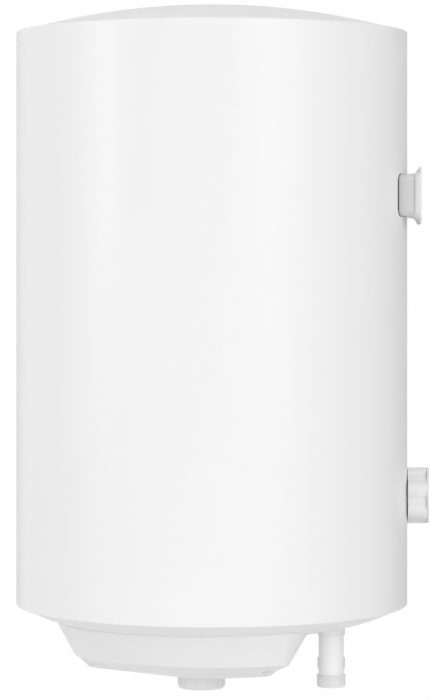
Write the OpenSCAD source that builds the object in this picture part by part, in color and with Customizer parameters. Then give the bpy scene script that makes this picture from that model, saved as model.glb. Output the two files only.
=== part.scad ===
// Wall-hung electric storage water heater, upright, with its pipes and controls underneath.
// Origin: centre of the hanger's outer face. +Z is up, +Y points at the wall, the front faces -Y.
// "Height" and "depth" of the pieces under the casing are counted down from its lower rim.

/* [Casing] */
// Outer diameter of the sheet-steel casing
casing_d = 340; // [300:1:420]
// Height of the casing between its two rims
casing_h = 496; // [430:1:800]
// Thickness of the casing sheet
casing_t = 0.8; // [0.5:0.1:1.5]
// Radius of the rolled hem at each rim
hem_r = 1.4; // [1:0.1:2.5]

/* [End caps] */
// Rise of the domed top cap above the rim
top_rise = 23; // [12:1:40]
// Depth of the domed bottom cap below the rim
bottom_rise = 22; // [14:1:26]
// Exponent of the bottom cap's section: a larger one makes a flatter middle and a rounder edge
bottom_fullness = 4; // [2:0.5:6]
// Wall of both caps
cap_t = 1.6; // [1:0.1:3]
// Height of the caps' skirts inside the casing
skirt_h = 14; // [8:1:25]

/* [Tank] */
// Foam between the tank's wall and the casing
foam_side = 26; // [20:1:40]
// Wall of the tank
tank_t = 2; // [1.5:0.1:3]
// Depth of the dished tank heads
head_rise = 40; // [25:1:60]
// Foam between the tank's upper head and the upper rim
foam_above = 18; // [10:1:60]
// Foam between the tank's lower head and the lower rim
foam_below = 20; // [14:1:40]

/* [Flange and heating] */
// Inner radius of the flange neck
neck_r = 48; // [46:1:50]
// Wall of the flange neck
neck_t = 3; // [2:0.5:4]
// Outer radius of the flange plate and the welded ring
flange_r = 63; // [62:1:66]
// Thickness of the welded ring
ring_t = 6; // [4:1:10]
// Thickness of the gasket
gasket_t = 2.5; // [1.5:0.5:4]
// Thickness of the flange plate
plate_t = 4; // [3:0.5:6]
// Radius of the flange studs
stud_r = 4; // [3:0.5:5]
// Number of flange studs
stud_count = 6; // [5:1:8]
// Length of the heating element inside the tank
element_h = 230; // [120:5:320]
// Radius of the heating element's tube
element_r = 4.2; // [3.5:0.1:5]
// Distance of each element leg from the middle plane
element_s = 18; // [14:1:22]
// Length of the anode rod
anode_h = 210; // [100:5:300]
// Radius of the anode rod
anode_r = 10; // [6:0.5:11]
// Length of the thermostat pocket
pocket_h = 200; // [100:5:280]

/* [Pipes] */
// Outer radius of the G1/2 connection pipes
pipe_r = 10.65; // [10.6:0.05:11]
// Bore radius of the pipes
pipe_bore_r = 8; // [6:0.5:9]
// Distance between the two pipes
pipe_pitch = 100; // [60:5:130]
// Distance of the pipes behind the tank's axis
pipe_w = 104; // [98:1:112]
// Depth of the pipe ends below the lower rim
pipe_end = 63.4; // [50:0.5:80]
// Length of the external thread at each pipe end
thread_l = 10; // [8:0.5:16]
// How far the thread's crests lie under the pipe's outer face
thread_in = 0.17; // [0.1:0.01:0.3]
// Wall of the push-on thread protectors
protector_t = 1.7; // [1.4:0.05:3]

/* [Hanger] */
// How far the hanger's outer face stands out behind the casing
hanger_out = 11; // [8:1:30]
// Height of the hanger's middle above the lower rim
hanger_up = 354; // [300:1:600]
// Height of the hanger plate
web_h = 49; // [44:1:60]
// Length of the hanger plate
web_l = 108; // [104:1:160]
// Thickness of the hanger's steel
web_t = 3; // [2.5:0.5:4]
// Height of the hanger's box-shaped neck
hat_h = 36; // [30:1:40]
// Length of the hanger's neck
hat_l = 100; // [90:1:104]
// Distance between the two hook slots
slot_pitch = 60; // [50:1:64]
// End-to-end length of a hook slot
slot_l = 20; // [16:1:24]
// Half width of a hook slot
slot_r = 5; // [4:0.5:6]

/* [Wall spacer] */
// Height of the spacer's axis below the hanger
spacer_drop = 260; // [150:1:300]
// Outer radius of the lobed adjusting knob
spacer_r = 24.6; // [20:0.5:30]
// Number of lobes on the adjusting knob
spacer_lobes = 6; // [5:1:10]
// Distance of the wall plane behind the casing
wall_gap = 20; // [18:1:45]
// Thickness of the pad that touches the wall
pad_t = 3.4; // [2:0.2:6]
// Radius of the spacer's threaded stem
stem_r = 8; // [6:0.5:9]

/* [Service cover] */
// Wall of the service cover
cover_t = 2.5; // [1.5:0.1:4]
// Distance of the cover's round outline in from the casing, at the lower rim's level
cover_in = 22.5; // [20:0.5:30]
// Distance of that outline's centre behind the tank's axis
cover_w = 5; // [0:1:10]
// Distance of the cover's straight back edge in front of the pipes' middles
cover_gap = 16.5; // [14:0.5:34]
// Depth of the cover's flat underside
cover_depth = 56; // [50:1:70]

/* [Controls] */
// Radius of the temperature knob
knob_r = 20.7; // [15:0.1:26]
// How far the temperature knob stands out under the cover
knob_out_h = 18; // [12:1:30]
// Number of grip grooves round the temperature knob
knob_grooves = 11; // [8:1:36]
// Distance of the knob's axis behind the tank's axis
knob_w = -9; // [-14:1:-5]
// Radius of the thermostat spindle
spindle_r = 3; // [2.5:0.5:4]
// Radius of the cable entry
entry_r = 4.5; // [4:0.5:6]

/* [Hidden] */
// Named clearances
slip = 0.2;            // fixed pieces that fit inside each other
seat_gap = 0.3;        // moving pieces that face a fixed one
running = 0.06;        // radial gap of a turning fit
weld = 0.05;           // welded joints and threads in their tapped holes

casing_r = casing_d / 2;
hanger_w = casing_r + hanger_out;         // hanger's outer face behind the tank's axis
wall_w = casing_r + wall_gap;             // wall plane behind the tank's axis
hem_bore_r = casing_r - 2 * hem_r;
skirt_r = hem_bore_r - slip;
z_low = -hanger_up;                       // lower rim
z_high = z_low + casing_h;                // upper rim
top_base_r = skirt_r - 2;                 // edge of the top cap's dome
top_sphere_r = (top_base_r ^ 2 + top_rise ^ 2) / (2 * top_rise);
dome_steps = 14;                          // cone bands that make the bottom cap's section

tank_r = casing_r - foam_side;
head_r = (tank_r ^ 2 + head_rise ^ 2) / (2 * head_rise);
tank_low = z_low + foam_below + head_rise;     // lower end of the tank's straight wall
tank_high = z_high - foam_above - head_rise;   // upper end of the tank's straight wall
foam_r = casing_r - casing_t - slip;
foam_step = skirt_h + 1;                       // foam steps in below each cap's skirt

ring_up = 8;                                   // top of the welded ring above the lower rim
plate_top = ring_up - ring_t - gasket_t;       // all four counted up from the lower rim
plate_low = plate_top - plate_t;
neck_out_r = neck_r + neck_t;
stud_circle_r = (neck_out_r + flange_r) / 2;
nut_r = 1.8 * stud_r * 0.93;
nut_h = 1.6 * stud_r;
stud_tip = plate_low - nut_h - 3;
element_w = 20;                                // element legs behind the tank's axis
anode_w = -37;                                 // anode in front of the tank's axis
anode_stud_r = 3;
pocket_r = 7.5;
pocket_t = 1;
probe_r = 3;
earth_s = 38;
earth_w = 8;
earth_r = 2.5;
port_r = flange_r + 3;                         // opening in the bottom cap round the flange

stat_w = 36;                                   // thermostat body: front to back
stat_s = 46;                                   // side to side
stat_h = 30;                                   // height
stat_low = plate_low - stat_h;
spindle_seat = 10;                             // depth of the spindle's bearing
button_r = 3;
button_travel = 2;
button_w = knob_w - 13;
tab_w = 6.3;
tab_t = 0.8;
tab_l = 9;
insulator_r = 5;
insulator_h = 7;
leg_low = z_low + plate_low - 2;               // outer ends of the element's legs
tab_end = leg_low - insulator_h - tab_l;
lead_r = 1.5;
lead_bend_r = 4.5;
sleeve_size = [5, 3.4, 8];

hot_pipe_top = tank_high - 8;
cold_pipe_top = tank_low + 12;
protector_h = 10.8;
protector_floor = 1.4;
protector_ribs = 6;
grommet_r = pipe_r + 2.4;
diffuser_r = pipe_r + 3.35;
thread_r = pipe_r - thread_in;
protector_r = pipe_r + protector_t;
diffuser_h = 26;

hat_corner = 6;
hat_gap = 1.2;                                 // gap above and below the hanger's neck in the casing
hat_gap_side = 4.5;                            // gap at the neck's two ends
saddle_t = 3;
saddle_r = tank_r + slip;                      // inner face of the saddle on the tank
saddle_size = [150, 66];
flare_d = 11;                                  // depth over which the neck flares into the plate

spacer_z = -spacer_drop;
socket_r = 13.7;
socket_in = tank_r + 2;                        // inner end of the socket's tube
socket_flange = [casing_r - 20, casing_r - 17]; // its flange, in the foam
knob_in = casing_r + 0.9;                      // inner face of the adjusting knob
pad_in = wall_w - pad_t;
knob_out = pad_in - seat_gap;
knob_core = spacer_r - 3;
lobe_r = 9;
pad_r = spacer_r - 1.1;
pivot_r = 5;
pivot_l = 6;

cover_r = casing_r - cover_in;                 // radius of the cover's round outline
cover_back = pipe_w - cover_gap;               // its straight back edge behind the tank's axis
cover_draft = 0.53;                            // how far the cover's wall leans in per unit of depth
edge_tip = cover_depth - 11.5;                 // depth of the wall's lower edge at the front
edge_side = cover_depth - 17.5;                // and at the two sides
edge_back = cover_depth - 14.7;                // and at the back corners
nose_w = cover_w - cover_r + 47;               // the flat underside: a small nose disc,
nose_r = 12;
belly_w = 0;                                   // two wide discs,
belly_s = 31;
belly_r = 40;
tail_w = 39;                                   // and two small ones at the back
tail_s = 46;
tail_r = 14;
post_r = 5.5;
post_seat = 30;                                // depth of the screw heads' seats
post_front = nose_w - 8.5;                     // the front screw, behind the cover's front edge
post_back = cover_back - 37.5;                 // the two screws at the back
post_places = [[0, post_front], [86, post_back], [-86, post_back]];
screw_r = 2;
screw_head_r = 4.2;
screw_head_h = 2.6;
screw_l = 26;
entry_place = [-34, 30];
lamp_place = [0, -58];
lamp_r = 4;
knob_depth = cover_depth + knob_out_h;
knob_top = cover_depth + seat_gap + 0.9;
knob_hub_r = 7;
knob_wall = 2.2;
knob_socket = 9;

$fn = 64;

// A point at a depth below the lower rim, as a height
function below(depth) = z_low - depth;

// Depth of the bottom cap's outer face at radius r, with the dome moved down by extra
function dome_depth(r, extra = 0) = bottom_rise * (1 - (r / skirt_r) ^ bottom_fullness) + extra;

// Radius of dome band i: the bands get narrower towards the edge
function band_r(i) = skirt_r * sin(90 * i / dome_steps);

// Move children to the tank's axis
module at_axis() translate([0, -hanger_w, 0]) children();

// A tube or ring between two radii and two heights
module ring(inner, outer, low, high) {
    translate([0, 0, low]) difference() {
        cylinder(r = outer, h = high - low);
        translate([0, 0, -1]) cylinder(r = inner, h = high - low + 2);
    }
}

// A solid rod between two heights
module rod(r, low, high) {
    translate([0, 0, low]) cylinder(r = r, h = high - low);
}

// A rod that lies along Y, between two distances from the tank's axis
module y_rod(r, from, to) {
    translate([0, from, 0]) rotate([-90, 0, 0]) cylinder(r = r, h = to - from);
}

// Copies of children round the tank's axis
module around(count, r) {
    for (i = [0 : count - 1]) rotate([0, 0, 360 * (i + 0.5) / count]) translate([r, 0, 0]) children();
}

// Both pipes' places
module at_pipe(side) {
    translate([side * pipe_pitch / 2, pipe_w, 0]) children();
}

// A plate in the X-Z plane with rounded corners, between two Y distances
module rounded_plate(l, h, corner, from, to) {
    translate([0, to, 0]) rotate([90, 0, 0]) linear_extrude(to - from) union() {
        square([l - 2 * corner, h], center = true);
        square([l, h - 2 * corner], center = true);
        for (x = [-1, 1], z = [-1, 1]) translate([x * (l / 2 - corner), z * (h / 2 - corner)]) circle(corner);
    }
}

// Half section of the top cap's dome, solid down to the rim, on a sphere of radius r
module top_dome_2d(r, edge) {
    intersection() {
        translate([0, z_high + top_rise - top_sphere_r]) circle(r, $fn = 180);
        translate([0, z_high]) square([edge, top_rise + 1]);
    }
}

// Solid of the bottom cap's dome moved down by extra, closed at a height above the rim
module bottom_dome(extra, height) {
    rotate_extrude($fn = 180) polygon(concat(
        [[0, z_low + height]],
        [for (i = [0 : dome_steps]) [band_r(i), below(dome_depth(band_r(i), extra))]],
        [[skirt_r, z_low + height]]));
}

module outer_casing() color("white") {
    at_axis() difference() {
        rotate_extrude($fn = 180) union() {
            translate([casing_r - casing_t, z_low + hem_r]) square([casing_t, casing_h - 2 * hem_r]);
            for (z = [z_low + hem_r, z_high - hem_r]) translate([casing_r - hem_r, z]) circle(hem_r);
        }
        rounded_plate(hat_l + 2 * hat_gap_side, hat_h + 2 * hat_gap, hat_corner + hat_gap, 0, casing_r + 5);
        translate([0, 0, spacer_z]) y_rod(socket_r + slip, 0, casing_r + 5);
    }
}

module top_cap() color("gainsboro") {
    at_axis() rotate_extrude($fn = 180) union() {
        difference() {
            top_dome_2d(top_sphere_r, top_base_r);
            top_dome_2d(top_sphere_r - cap_t, top_base_r - cap_t);
        }
        translate([top_base_r - cap_t, z_high - cap_t]) square([skirt_r - top_base_r + cap_t, cap_t]);
        translate([skirt_r - cap_t, z_high - skirt_h]) square([cap_t, skirt_h]);
    }
}

module bottom_cap() color("gainsboro") {
    at_axis() difference() {
        union() {
            difference() {
                bottom_dome(0, 0);
                bottom_dome(-cap_t, 1);
            }
            ring(skirt_r - cap_t, skirt_r, z_low, z_low + skirt_h);
        }
        rod(port_r, below(bottom_rise + 5), z_low + 5);
        for (side = [-1, 1]) at_pipe(side) rod(grommet_r - 1.2, below(bottom_rise + 5), z_low + 5);
        for (p = post_places) translate(p) rod(screw_r + weld, below(bottom_rise + 5), z_low + 5);
    }
}

module foam_insulation() color("khaki") {
    at_axis() difference() {
        rotate_extrude($fn = 180) union() {
            translate([0, z_low + foam_step]) square([foam_r, casing_h - 2 * foam_step]);
            translate([0, z_low + 1]) square([skirt_r - cap_t - slip, casing_h - 2 - cap_t]);
            top_dome_2d(top_sphere_r - cap_t - slip, top_base_r - 3 * cap_t);
        }
        tank_form(slip);
        rod(port_r, z_low - 1, tank_low);
        for (side = [-1, 1]) at_pipe(side) rod(pipe_r + slip, z_low - 1, tank_low);
        hanger_room();
        translate([0, 0, spacer_z]) {
            y_rod(socket_r + slip, socket_in - 3, casing_r);
            y_rod(socket_r + 6 + slip, socket_flange[0] - slip, socket_flange[1] + slip);
        }
    }
}

// The tank's outer form, grown by extra
module tank_form(extra) {
    rod(tank_r + extra, tank_low, tank_high);
    for (end = [[tank_high, 0], [tank_low, 1]]) translate([0, 0, end[0]]) mirror([0, 0, end[1]])
        rotate_extrude($fn = 180) intersection() {
            translate([0, head_rise - head_r]) circle(head_r + extra, $fn = 180);
            square([tank_r + extra, head_rise + extra]);
        }
}

// Room in the foam for the hanger's neck and its saddle
module hanger_room() {
    rounded_plate(hat_l + 2 * slip, hat_h + 2 * slip, hat_corner, tank_r - 20, casing_r);
    intersection() {
        ring(tank_r - 1, saddle_r + saddle_t + slip, -saddle_size[1], saddle_size[1]);
        rounded_plate(saddle_size[0] + 2 * slip, saddle_size[1] + 2 * slip, hat_corner, 0, casing_r);
    }
}

module tank_shell() color("steelblue") {
    at_axis() ring(tank_r - tank_t, tank_r, tank_low, tank_high);
}

// A dished head with its hollow side at z = 0, facing down
module tank_head() {
    rotate_extrude($fn = 180) difference() {
        intersection() {
            translate([0, head_rise - head_r]) circle(head_r, $fn = 180);
            square([tank_r, head_rise]);
        }
        intersection() {
            translate([0, head_rise - head_r]) circle(head_r - tank_t, $fn = 180);
            translate([0, -1]) square([tank_r, head_rise + 1]);
        }
    }
}

module tank_top_head() color("steelblue") {
    at_axis() translate([0, 0, tank_high]) tank_head();
}

module tank_bottom_head() color("steelblue") {
    at_axis() difference() {
        translate([0, 0, tank_low]) mirror([0, 0, 1]) tank_head();
        rod(neck_out_r + weld, z_low, tank_low);
        for (side = [-1, 1]) at_pipe(side) rod(pipe_r + weld, z_low, tank_low);
    }
}

module flange_neck() color("slategray") {
    at_axis() difference() {
        union() {
            rod(neck_out_r, z_low + ring_up - ring_t, z_low + foam_below + 12);
            rod(flange_r, z_low + ring_up - ring_t, z_low + ring_up);
        }
        rod(neck_r, z_low - 1, z_low + foam_below + 13);
        around(stud_count, stud_circle_r) rod(stud_r + weld, z_low - 1, z_low + ring_up + 1);
    }
}

module flange_studs() color("silver") {
    at_axis() around(stud_count, stud_circle_r) rod(stud_r, z_low + stud_tip, z_low + ring_up);
}

module flange_gasket() color("dimgray") {
    at_axis() difference() {
        ring(neck_r, flange_r, z_low + plate_top, z_low + plate_top + gasket_t);
        around(stud_count, stud_circle_r) rod(stud_r + slip, z_low + plate_top - 1, z_low + ring_up);
    }
}

module flange_plate() color("silver") {
    at_axis() difference() {
        rod(flange_r, z_low + plate_low, z_low + plate_top);
        plate_holes() {
            rod(stud_r + slip, z_low + plate_low - 1, z_low + plate_top + 1);
            rod(element_r + weld, z_low + plate_low - 1, z_low + plate_top + 1);
            rod(pocket_r + weld, z_low + plate_low - 1, z_low + plate_top + 1);
            rod(anode_stud_r + slip, z_low + plate_low - 1, z_low + plate_top + 1);
            rod(earth_r + weld, z_low + plate_low - 1, z_low + plate_top + 1);
        }
    }
}

// Places on the flange plate. Its children are the holes of the studs, the element, the pocket, the anode
// and the earth screw.
module plate_holes() {
    around(stud_count, stud_circle_r) children(0);
    for (side = [-1, 1]) translate([side * element_s, element_w]) children(1);
    translate([0, knob_w]) children(2);
    translate([0, anode_w]) children(3);
    translate([earth_s, earth_w]) children(4);
}

module hex_nut(bore, across, low, high) {
    translate([0, 0, low]) difference() {
        cylinder(r = across, h = high - low, $fn = 6);
        translate([0, 0, -1]) cylinder(r = bore, h = high - low + 2);
    }
}

module flange_nuts() color("silver") {
    at_axis() around(stud_count, stud_circle_r)
        hex_nut(stud_r + weld, nut_r, z_low + plate_low - nut_h, z_low + plate_low);
}

module heating_element() color("peru") {
    bend_z = z_low + plate_top + element_h - element_s;
    at_axis() translate([0, element_w, 0]) {
        for (side = [-1, 1]) translate([side * element_s, 0, 0]) rod(element_r, leg_low, bend_z);
        translate([0, 0, bend_z]) rotate([90, 0, 0])
            rotate_extrude(angle = 180) translate([element_s, 0]) circle(element_r);
    }
}

module element_terminals() color("ivory") {
    at_axis() for (side = [-1, 1]) translate([side * element_s, element_w, 0]) {
        rod(insulator_r, leg_low - insulator_h, leg_low);
        translate([-tab_w / 2, -tab_t / 2, tab_end]) cube([tab_w, tab_t, tab_l]);
    }
}

// Two short leads, each with a sleeve under the element's tab, a half-round bend and a sleeve under the
// thermostat's tab
module element_leads() color("firebrick") {
    at_axis() for (side = [-1, 1]) translate([side * element_s, element_w, tab_end - seat_gap]) {
        for (y = [0, -2 * lead_bend_r])
            translate([-sleeve_size[0] / 2, y - sleeve_size[1] / 2, -sleeve_size[2]]) cube(sleeve_size);
        translate([0, -lead_bend_r, -sleeve_size[2]]) rotate([0, 90, 0]) rotate([0, 0, -90])
            rotate_extrude(angle = 180) translate([lead_bend_r, 0]) circle(lead_r);
    }
}

module thermostat_pocket() color("silver") {
    at_axis() translate([0, knob_w, 0]) difference() {
        rod(pocket_r, z_low + plate_low, z_low + plate_low + pocket_h);
        rod(pocket_r - pocket_t, z_low + plate_low - 1, z_low + plate_low + pocket_h - pocket_t);
    }
}

module anode_rod() color("darkgray") {
    at_axis() translate([0, anode_w, 0]) {
        rod(anode_r, z_low + plate_top, z_low + plate_top + anode_h);
        rod(anode_stud_r, z_low + plate_low - 9, z_low + plate_top);
    }
}

module anode_nut() color("silver") {
    at_axis() translate([0, anode_w, 0])
        hex_nut(anode_stud_r + weld, 5.6, z_low + plate_low - 5, z_low + plate_low);
}

module earth_screw() color("goldenrod") {
    at_axis() translate([earth_s, earth_w, 0]) {
        rod(earth_r, z_low + plate_low - 9, z_low + plate_top);
        hex_nut(0.5, 5, z_low + plate_low - 9, z_low + plate_low - 5);
    }
}

module thermostat_body() color("whitesmoke") {
    at_axis() difference() {
        union() {
            translate([-stat_s / 2, knob_w - stat_w / 2, z_low + stat_low]) cube([stat_s, stat_w, stat_h]);
            for (side = [-1, 1])
                translate([side * element_s - tab_w / 2, knob_w + stat_w / 2 - 1, tab_end])
                    cube([tab_w, 4, 4]);
        }
        translate([0, knob_w, 0])
            rod(spindle_r + running, z_low + stat_low - 1, z_low + stat_low + spindle_seat);
        translate([0, button_w, 0]) rod(button_r + running, z_low + stat_low - 1, z_low + stat_low + 8);
    }
}

module thermostat_probe() color("silver") {
    at_axis() translate([0, knob_w, 0]) rod(probe_r, z_low + plate_low, z_low + plate_low + pocket_h - 12);
}

module reset_button() color("crimson") {
    at_axis() translate([0, button_w, 0])
        rod(button_r, z_low + stat_low - 3, z_low + stat_low + 8 - button_travel - 1);
}

module thermostat_spindle() color("silver") {
    at_axis() translate([0, knob_w, 0])
        rod(spindle_r, below(knob_top + knob_socket - 1), z_low + stat_low + spindle_seat - seat_gap);
}

module temperature_knob() color("gainsboro") {
    at_axis() translate([0, knob_w, 0]) difference() {
        union() {
            ring(knob_r - knob_wall, knob_r, below(knob_depth - 1.5), below(knob_top));
            rod(knob_r, below(knob_depth - 1.5), below(knob_depth - 3.5));
            translate([0, 0, below(knob_depth)]) cylinder(r1 = knob_r - 1.5, r2 = knob_r, h = 1.5);
            rod(knob_hub_r, below(knob_depth - 2), below(knob_top));
        }
        rod(spindle_r + weld, below(knob_top + knob_socket), below(knob_top - 1));
        for (i = [0 : knob_grooves - 1]) rotate([0, 0, 360 * (i + 0.7) / knob_grooves])
            translate([knob_r + 0.5, 0, 0]) rod(1, below(knob_depth - 2), below(knob_top - 1));
    }
}

// A connection pipe from its threaded end up to a height inside the tank
module pipe(top) {
    ring(pipe_bore_r, pipe_r, below(pipe_end - thread_l), top);
    ring(pipe_bore_r, thread_r, below(pipe_end), below(pipe_end - thread_l));
}

module cold_pipe() color("white") {
    at_axis() at_pipe(1) pipe(cold_pipe_top);
}

module hot_pipe() color("white") {
    at_axis() at_pipe(-1) pipe(hot_pipe_top);
}

// A closed cup over the cold pipe's end, with side windows that spread the entering water
module cold_diffuser() color("lightsteelblue") {
    low = cold_pipe_top - 14;
    at_axis() at_pipe(1) difference() {
        rod(diffuser_r, low, low + diffuser_h);
        rod(pipe_r + slip, low - 1, cold_pipe_top);
        rod(pipe_bore_r, low, low + diffuser_h - 2);
        for (turn = [0, 90]) rotate([0, 0, turn])
            translate([-diffuser_r, -4, cold_pipe_top + 2]) cube([2 * diffuser_r, 8, 7]);
    }
}

// Seals between the pipes and the bottom cap, each with a lip under the cap's outer face
module pipe_grommets() color("gainsboro") {
    at_axis() for (side = [-1, 1]) at_pipe(side) difference() {
        rod(grommet_r - 1.2 - slip, below(bottom_rise - 1), z_low - 1);
        rod(pipe_r + weld, below(bottom_rise + 1), z_low + 1);
    }
}

// A push-on cup with a ribbed wall that protects a pipe's thread
module protector(side) {
    low = below(pipe_end + protector_floor);
    rib = protector_h / (protector_ribs + 2);
    at_axis() at_pipe(side) difference() {
        union() {
            rod(protector_r - 0.5, low + 0.8, low + protector_h);
            translate([0, 0, low]) cylinder(r1 = protector_r - 1.3, r2 = protector_r - 0.5, h = 0.8);
            for (i = [0 : protector_ribs - 1])
                rod(protector_r, low + rib * (i + 0.9), low + rib * (i + 1.45));
            rod(protector_r, low + protector_h - 1.4, low + protector_h);
        }
        rod(pipe_r + running, low + protector_floor, low + protector_h + 1);
    }
}

module cold_protector() color("white") protector(1);

module hot_protector() color("white") protector(-1);

// A through slot with round ends, lying along X
module hook_slot() {
    translate([0, 5, 0]) rotate([90, 0, 0]) linear_extrude(web_t + 10) union() {
        square([slot_l - 2 * slot_r, 2 * slot_r], center = true);
        for (x = [-1, 1]) translate([x * (slot_l / 2 - slot_r), 0]) circle(slot_r);
    }
}

// A pressed steel plate with two hook slots, whose edges flare back into a box that stands on the saddle
module hanger_bracket() color("whitesmoke") {
    difference() {
        union() {
            rounded_plate(web_l, web_h, hat_corner + 2, -web_t / 2, 0);
            hull() {
                rounded_plate(web_l - 3, web_h - 4, hat_corner + 1, -web_t, -web_t / 2, $fn = 32);
                rounded_plate(hat_l, hat_h, hat_corner, -flare_d, -flare_d + 0.5, $fn = 32);
            }
            at_axis() difference() {
                rounded_plate(hat_l, hat_h, hat_corner, tank_r - 20, hanger_w - flare_d + 0.2);
                rod(saddle_r + saddle_t + weld, -saddle_size[1], saddle_size[1]);
            }
        }
        rounded_plate(hat_l - 2 * web_t, hat_h - 2 * web_t, hat_corner - web_t,
            tank_r - 21 - hanger_w, -web_t);
        for (x = [-1, 1]) translate([x * slot_pitch / 2, 0, 0]) hook_slot();
    }
}

module hanger_saddle() color("slategray") {
    at_axis() intersection() {
        ring(saddle_r, saddle_r + saddle_t, -saddle_size[1], saddle_size[1]);
        rounded_plate(saddle_size[0], saddle_size[1], hat_corner, 0, casing_r);
    }
}

module spacer_socket() color("gainsboro") {
    at_axis() translate([0, 0, spacer_z]) difference() {
        union() {
            y_rod(socket_r, socket_in, casing_r + 0.6);
            y_rod(socket_r + 6, socket_flange[0], socket_flange[1]);
        }
        y_rod(stem_r + running, socket_in - 1, casing_r + 2);
    }
}

module spacer_stem() color("gainsboro") {
    at_axis() translate([0, 0, spacer_z]) y_rod(stem_r, socket_in + 1.5, knob_out - pivot_l - 1);
}

// The adjusting knob: a disc between round lobes, with scoops cut between the lobes
module spacer_knob() color("gainsboro") {
    at_axis() translate([0, 0, spacer_z]) difference() {
        union() {
            y_rod(knob_core, knob_in, knob_out);
            for (i = [0 : spacer_lobes - 1]) rotate([0, 360 * i / spacer_lobes, 0])
                translate([spacer_r - lobe_r, 0, 0]) y_rod(lobe_r, knob_in, knob_out);
        }
        y_rod(stem_r + weld, knob_in - 1, knob_out - pivot_l - 1);
        y_rod(pivot_r + running, knob_out - pivot_l - 0.5, knob_out + 1);
    }
}

module spacer_pad() color("gainsboro") {
    at_axis() translate([0, 0, spacer_z]) {
        y_rod(pad_r, pad_in, wall_w);
        y_rod(pivot_r, knob_out - pivot_l, pad_in);
    }
}

// The cover's outer form, with its surface moved in by inset
module cover_form(inset) {
    wall_r = cover_r - inset;
    back = cover_back - inset;
    hull() {
        intersection() {
            translate([0, cover_w, z_low]) cylinder(r = wall_r, h = 0.1, $fn = 96);
            translate([-casing_r, -casing_r, z_low]) cube([casing_d, casing_r + back, 1]);
        }
        for (a = [-90 : 7.5 : 90]) cover_edge(a, edge_side + (edge_tip - edge_side) * cos(a) ^ 4, inset);
        for (side = [-1, 1]) for (a = [97.5 : 7.5 : 120]) cover_edge(side * a, edge_side, inset);
        for (side = [-1, 1]) translate([side * (cover_back + 15 - inset), back - cover_draft * edge_back,
            below(edge_back - inset)]) cylinder(r = 0.1, h = 0.1, $fn = 12);
        translate([0, 0, below(cover_depth - inset)]) linear_extrude(0.1) underside_2d(inset);
    }
}

// A point of the wall's lower edge, at angle a from the front and at a depth
module cover_edge(a, depth, inset) {
    reach = cover_r - cover_draft * depth - inset;
    translate([reach * sin(a), cover_w - reach * cos(a), below(depth - inset)])
        cylinder(r = 0.1, h = 0.1, $fn = 12);
}

// Discs whose hull is the flat underside
module underside_2d(inset) {
    translate([0, nose_w]) circle(nose_r - inset, $fn = 32);
    for (side = [-1, 1]) {
        translate([side * belly_s, belly_w]) circle(belly_r - inset, $fn = 48);
        translate([side * tail_s, tail_w]) circle(tail_r - inset, $fn = 32);
    }
}

module service_cover() color("gainsboro") {
    at_axis() difference() {
        cover_form(0);
        difference() {
            cover_form(cover_t);
            for (p = post_places) translate(p) rod(post_r, below(cover_depth), z_low + 1);
        }
        bottom_dome(seat_gap, 5);
        translate([0, knob_w, 0]) rod(spindle_r + 1.5, below(cover_depth + 1), below(cover_depth - 8));
        translate(entry_place) rod(entry_r + 2, below(cover_depth + 1), below(cover_depth - 8));
        translate(lamp_place) rod(lamp_r + slip, below(cover_depth + 1), below(cover_depth - 8));
        for (p = post_places) translate(p) {
            rod(screw_r + slip, below(cover_depth + 1), z_low + 1);
            rod(screw_head_r + slip, below(cover_depth + 1), below(post_seat));
        }
    }
}

module cover_screws() color("silver") {
    at_axis() for (p = post_places) translate(p) {
        rod(screw_r, below(post_seat), below(post_seat - screw_l));
        difference() {
            rod(screw_head_r, below(post_seat + screw_head_h), below(post_seat));
            for (turn = [0, 90]) rotate([0, 0, turn])
                translate([-2.2, -0.5, below(post_seat + screw_head_h + 1)]) cube([4.4, 1, 2.2]);
        }
    }
}

// A flanged bush that lines the cable entry in the cover's underside
module cable_grommet() color("dimgray") {
    at_axis() translate(entry_place) difference() {
        union() {
            rod(entry_r + 5, below(cover_depth + 1.2), below(cover_depth));
            rod(entry_r + 2 - slip, below(cover_depth), below(cover_depth - cover_t));
            rod(entry_r + 4, below(cover_depth - cover_t), below(cover_depth - cover_t - 1.5));
        }
        rod(entry_r, below(cover_depth + 2), below(cover_depth - 10));
    }
}

module indicator_lamp() color("orangered") {
    at_axis() translate(lamp_place) {
        rod(lamp_r + 1.5, below(cover_depth + 1), below(cover_depth));
        rod(lamp_r, below(cover_depth), below(cover_depth - 14));
    }
}

outer_casing();
top_cap();
bottom_cap();
foam_insulation();
tank_shell();
tank_top_head();
tank_bottom_head();
flange_neck();
flange_studs();
flange_gasket();
flange_plate();
flange_nuts();
heating_element();
element_terminals();
element_leads();
thermostat_pocket();
anode_rod();
anode_nut();
earth_screw();
thermostat_body();
thermostat_probe();
reset_button();
thermostat_spindle();
temperature_knob();
cold_pipe();
hot_pipe();
cold_diffuser();
pipe_grommets();
cold_protector();
hot_protector();
hanger_bracket();
hanger_saddle();
spacer_socket();
spacer_stem();
spacer_knob();
spacer_pad();
service_cover();
cover_screws();
cable_grommet();
indicator_lamp();
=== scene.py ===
import math

import bmesh
import bpy
from mathutils import Matrix, Vector


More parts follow.
